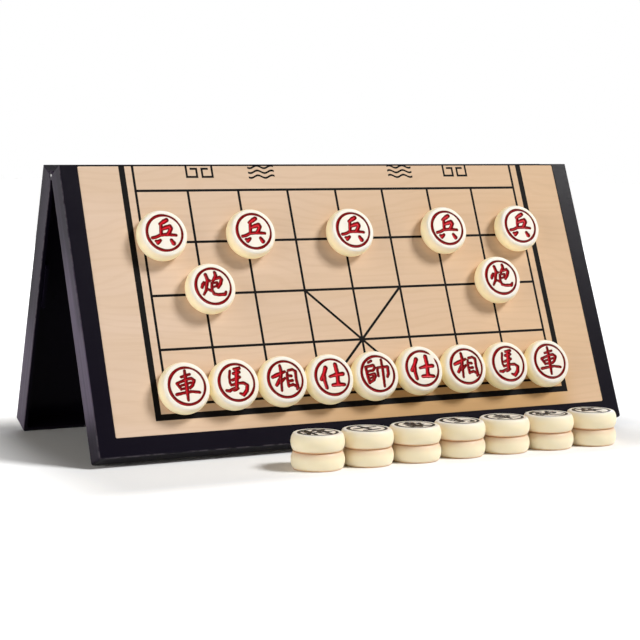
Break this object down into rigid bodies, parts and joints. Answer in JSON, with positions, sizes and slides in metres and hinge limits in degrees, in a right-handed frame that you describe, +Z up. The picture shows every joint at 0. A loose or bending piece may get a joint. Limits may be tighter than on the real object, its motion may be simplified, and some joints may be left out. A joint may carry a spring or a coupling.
{
  "type": "chinese chess set",
  "caption": "Travel xiangqi set: a folding magnetic board of two hinged trays standing as a tent, round ivory pieces set out on its front leaf and stacked on the table before it.",
  "frame": {"origin": "on the table, below the middle of the whole arrangement's bounding box", "axes": "+X to the right along the fold as the players' front leaf is seen, +Y away from the front, +Z up"},
  "size_m": [0.322, 0.207, 0.1534],
  "materials": {
    "tray": "satin black moulded plastic",
    "board_print": "thin steel sheet with a matt light-wood print",
    "magnet": "nickel-plated magnet",
    "pin": "bright drawn wire",
    "piece": "ivory plastic, softly polished"
  },
  "bodies": {
    "front_leaf": {"front_tray": "tray", "front_board_sheet": "board_print", "front_closure_magnets": "magnet", "hinge_pin_left": "pin", "hinge_pin_right": "pin"},
    "rear_leaf": {"rear_tray": "tray", "rear_board_sheet": "board_print", "rear_closure_magnets": "magnet"},
    "red_soldier_1_piece": {"red_soldier_1": "piece", "red_soldier_1_magnet": "magnet"},
    "red_soldier_2_piece": {"red_soldier_2": "piece", "red_soldier_2_magnet": "magnet"},
    "red_soldier_3_piece": {"red_soldier_3": "piece", "red_soldier_3_magnet": "magnet"},
    "red_soldier_4_piece": {"red_soldier_4": "piece", "red_soldier_4_magnet": "magnet"},
    "red_soldier_5_piece": {"red_soldier_5": "piece", "red_soldier_5_magnet": "magnet"},
    "red_cannon_left_piece": {"red_cannon_left": "piece", "red_cannon_left_magnet": "magnet"},
    "red_cannon_right_piece": {"red_cannon_right": "piece", "red_cannon_right_magnet": "magnet"},
    "red_chariot_left_piece": {"red_chariot_left": "piece", "red_chariot_left_magnet": "magnet"},
    "red_horse_left_piece": {"red_horse_left": "piece", "red_horse_left_magnet": "magnet"},
    "red_elephant_left_piece": {"red_elephant_left": "piece", "red_elephant_left_magnet": "magnet"},
    "red_advisor_left_piece": {"red_advisor_left": "piece", "red_advisor_left_magnet": "magnet"},
    "red_general_piece": {"red_general": "piece", "red_general_magnet": "magnet"},
    "red_advisor_right_piece": {"red_advisor_right": "piece", "red_advisor_right_magnet": "magnet"},
    "red_elephant_right_piece": {"red_elephant_right": "piece", "red_elephant_right_magnet": "magnet"},
    "red_horse_right_piece": {"red_horse_right": "piece", "red_horse_right_magnet": "magnet"},
    "red_chariot_right_piece": {"red_chariot_right": "piece", "red_chariot_right_magnet": "magnet"},
    "black_soldier_2_piece": {"black_soldier_2": "piece"},
    "black_general_piece": {"black_general": "piece"},
    "black_advisor_right_piece": {"black_advisor_right": "piece"},
    "black_advisor_left_piece": {"black_advisor_left": "piece"},
    "black_elephant_right_piece": {"black_elephant_right": "piece"},
    "black_elephant_left_piece": {"black_elephant_left": "piece"},
    "black_horse_right_piece": {"black_horse_right": "piece"},
    "black_horse_left_piece": {"black_horse_left": "piece"},
    "black_chariot_right_piece": {"black_chariot_right": "piece"},
    "black_chariot_left_piece": {"black_chariot_left": "piece"},
    "black_cannon_right_piece": {"black_cannon_right": "piece"},
    "black_cannon_left_piece": {"black_cannon_left": "piece"},
    "black_soldier_3_piece": {"black_soldier_3": "piece"},
    "black_soldier_1_piece": {"black_soldier_1": "piece"},
    "black_soldier_4_piece": {"black_soldier_4": "piece"},
    "black_soldier_5_piece": {"black_soldier_5": "piece"}
  },
  "joints": [
    {"name": "leaf_hinge", "type": "hinge", "parent": "front_leaf", "child": "rear_leaf", "pos_m": [0, 0.02899, 0.14787], "axis": [1, 0, 0], "range_deg": [-44.8, 135.2]},
    {"name": "red_soldier_1_lift", "type": "slide", "parent": "front_leaf", "child": "red_soldier_1_piece", "axis": [0, -0.9245, 0.3811], "range_m": [0, 0.015]},
    {"name": "red_soldier_2_lift", "type": "slide", "parent": "front_leaf", "child": "red_soldier_2_piece", "axis": [0, -0.9245, 0.3811], "range_m": [0, 0.015]},
    {"name": "red_soldier_3_lift", "type": "slide", "parent": "front_leaf", "child": "red_soldier_3_piece", "axis": [0, -0.9245, 0.3811], "range_m": [0, 0.015]},
    {"name": "red_soldier_4_lift", "type": "slide", "parent": "front_leaf", "child": "red_soldier_4_piece", "axis": [0, -0.9245, 0.3811], "range_m": [0, 0.015]},
    {"name": "red_soldier_5_lift", "type": "slide", "parent": "front_leaf", "child": "red_soldier_5_piece", "axis": [0, -0.9245, 0.3811], "range_m": [0, 0.015]},
    {"name": "red_cannon_left_lift", "type": "slide", "parent": "front_leaf", "child": "red_cannon_left_piece", "axis": [0, -0.9245, 0.3811], "range_m": [0, 0.015]},
    {"name": "red_cannon_right_lift", "type": "slide", "parent": "front_leaf", "child": "red_cannon_right_piece", "axis": [0, -0.9245, 0.3811], "range_m": [0, 0.015]},
    {"name": "red_chariot_left_lift", "type": "slide", "parent": "front_leaf", "child": "red_chariot_left_piece", "axis": [0, -0.9245, 0.3811], "range_m": [0, 0.015]},
    {"name": "red_horse_left_lift", "type": "slide", "parent": "front_leaf", "child": "red_horse_left_piece", "axis": [0, -0.9245, 0.3811], "range_m": [0, 0.015]},
    {"name": "red_elephant_left_lift", "type": "slide", "parent": "front_leaf", "child": "red_elephant_left_piece", "axis": [0, -0.9245, 0.3811], "range_m": [0, 0.015]},
    {"name": "red_advisor_left_lift", "type": "slide", "parent": "front_leaf", "child": "red_advisor_left_piece", "axis": [0, -0.9245, 0.3811], "range_m": [0, 0.015]},
    {"name": "red_general_lift", "type": "slide", "parent": "front_leaf", "child": "red_general_piece", "axis": [0, -0.9245, 0.3811], "range_m": [0, 0.015]},
    {"name": "red_advisor_right_lift", "type": "slide", "parent": "front_leaf", "child": "red_advisor_right_piece", "axis": [0, -0.9245, 0.3811], "range_m": [0, 0.015]},
    {"name": "red_elephant_right_lift", "type": "slide", "parent": "front_leaf", "child": "red_elephant_right_piece", "axis": [0, -0.9245, 0.3811], "range_m": [0, 0.015]},
    {"name": "red_horse_right_lift", "type": "slide", "parent": "front_leaf", "child": "red_horse_right_piece", "axis": [0, -0.9245, 0.3811], "range_m": [0, 0.015]},
    {"name": "red_chariot_right_lift", "type": "slide", "parent": "front_leaf", "child": "red_chariot_right_piece", "axis": [0, -0.9245, 0.3811], "range_m": [0, 0.015]},
    {"name": "black_soldier_2_lift", "type": "slide", "parent": "front_leaf", "child": "black_soldier_2_piece", "axis": [0, 0, 1], "range_m": [0, 0.015]},
    {"name": "black_general_lift", "type": "slide", "parent": "black_soldier_2_piece", "child": "black_general_piece", "axis": [0, 0, 1], "range_m": [0, 0.015]},
    {"name": "black_advisor_right_lift", "type": "slide", "parent": "front_leaf", "child": "black_advisor_right_piece", "axis": [0, 0, 1], "range_m": [0, 0.015]},
    {"name": "black_advisor_left_lift", "type": "slide", "parent": "black_advisor_right_piece", "child": "black_advisor_left_piece", "axis": [0, 0, 1], "range_m": [0, 0.015]},
    {"name": "black_elephant_right_lift", "type": "slide", "parent": "front_leaf", "child": "black_elephant_right_piece", "axis": [0, 0, 1], "range_m": [0, 0.015]},
    {"name": "black_elephant_left_lift", "type": "slide", "parent": "black_elephant_right_piece", "child": "black_elephant_left_piece", "axis": [0, 0, 1], "range_m": [0, 0.015]},
    {"name": "black_horse_right_lift", "type": "slide", "parent": "front_leaf", "child": "black_horse_right_piece", "axis": [0, 0, 1], "range_m": [0, 0.015]},
    {"name": "black_horse_left_lift", "type": "slide", "parent": "black_horse_right_piece", "child": "black_horse_left_piece", "axis": [0, 0, 1], "range_m": [0, 0.015]},
    {"name": "black_chariot_right_lift", "type": "slide", "parent": "front_leaf", "child": "black_chariot_right_piece", "axis": [0, 0, 1], "range_m": [0, 0.015]},
    {"name": "black_chariot_left_lift", "type": "slide", "parent": "black_chariot_right_piece", "child": "black_chariot_left_piece", "axis": [0, 0, 1], "range_m": [0, 0.015]},
    {"name": "black_cannon_right_lift", "type": "slide", "parent": "front_leaf", "child": "black_cannon_right_piece", "axis": [0, 0, 1], "range_m": [0, 0.015]},
    {"name": "black_cannon_left_lift", "type": "slide", "parent": "black_cannon_right_piece", "child": "black_cannon_left_piece", "axis": [0, 0, 1], "range_m": [0, 0.015]},
    {"name": "black_soldier_3_lift", "type": "slide", "parent": "front_leaf", "child": "black_soldier_3_piece", "axis": [0, 0, 1], "range_m": [0, 0.015]},
    {"name": "black_soldier_1_lift", "type": "slide", "parent": "black_soldier_3_piece", "child": "black_soldier_1_piece", "axis": [0, 0, 1], "range_m": [0, 0.015]},
    {"name": "black_soldier_4_lift", "type": "slide", "parent": "front_leaf", "child": "black_soldier_4_piece", "axis": [0, 0, 1], "range_m": [0, 0.015]},
    {"name": "black_soldier_5_lift", "type": "slide", "parent": "front_leaf", "child": "black_soldier_5_piece", "axis": [0, 0, 1], "range_m": [0, 0.015]}
  ]
}
